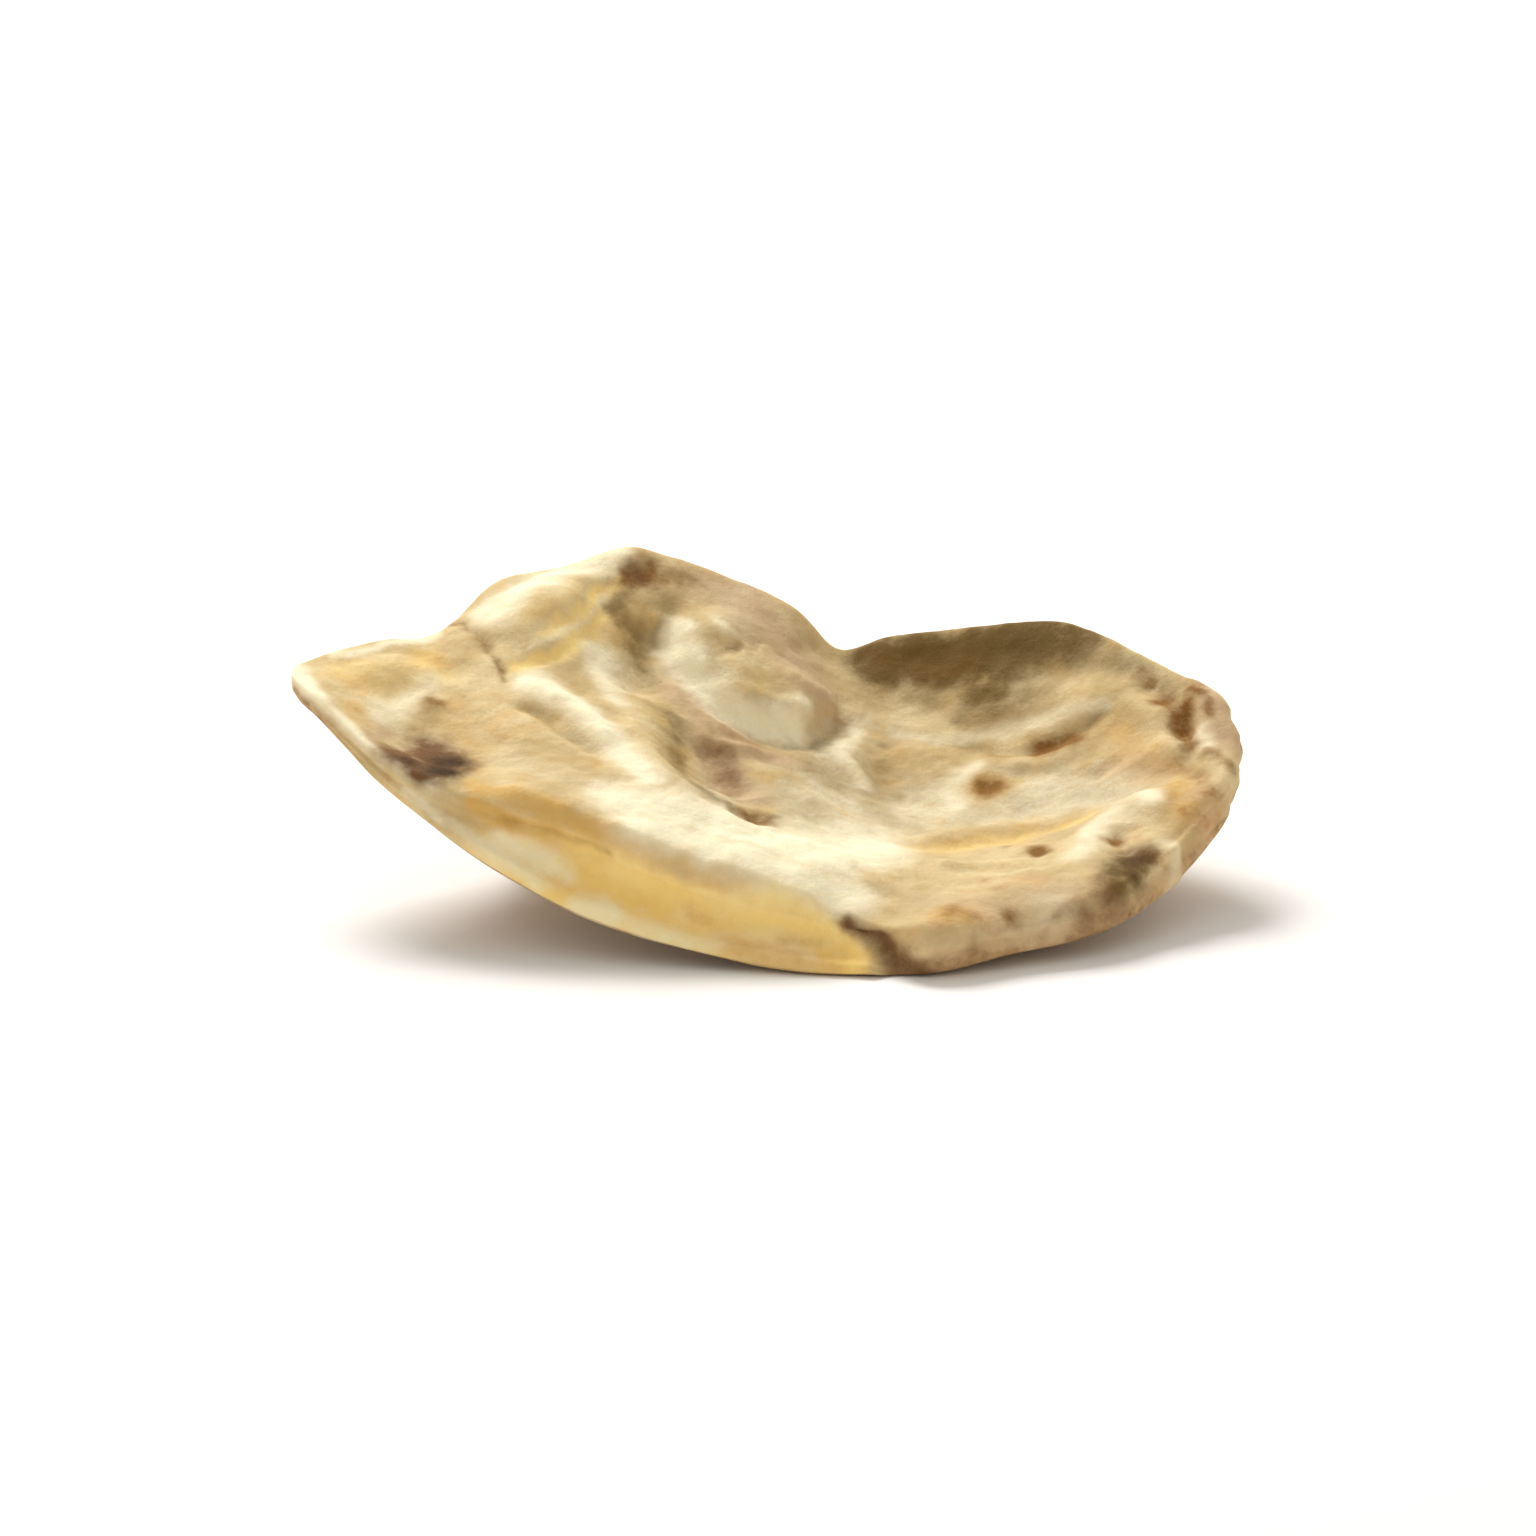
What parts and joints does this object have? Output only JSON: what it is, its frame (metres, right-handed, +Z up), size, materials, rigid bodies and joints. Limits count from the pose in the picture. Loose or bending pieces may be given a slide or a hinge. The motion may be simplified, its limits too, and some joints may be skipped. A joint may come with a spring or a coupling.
{
  "type": "dried bletilla tuber slice",
  "caption": "Dried bletilla tuber slice: a dished, horny cream chip with a pointed tip, a raised tongue, a translucent edge band and a ringed bark side.",
  "frame": {"origin": "on the surface it lies on, under the middle of its bounding box", "axes": "+X along the slice from its pointed tip to its round end, +Y away from the split front edge, +Z up"},
  "size_m": [0.0318, 0.0192, 0.0099],
  "materials": {
    "tuber_slice": "satin, horny"
  },
  "bodies": {
    "root": {"tuber_slice": "tuber_slice"}
  },
  "joints": []
}
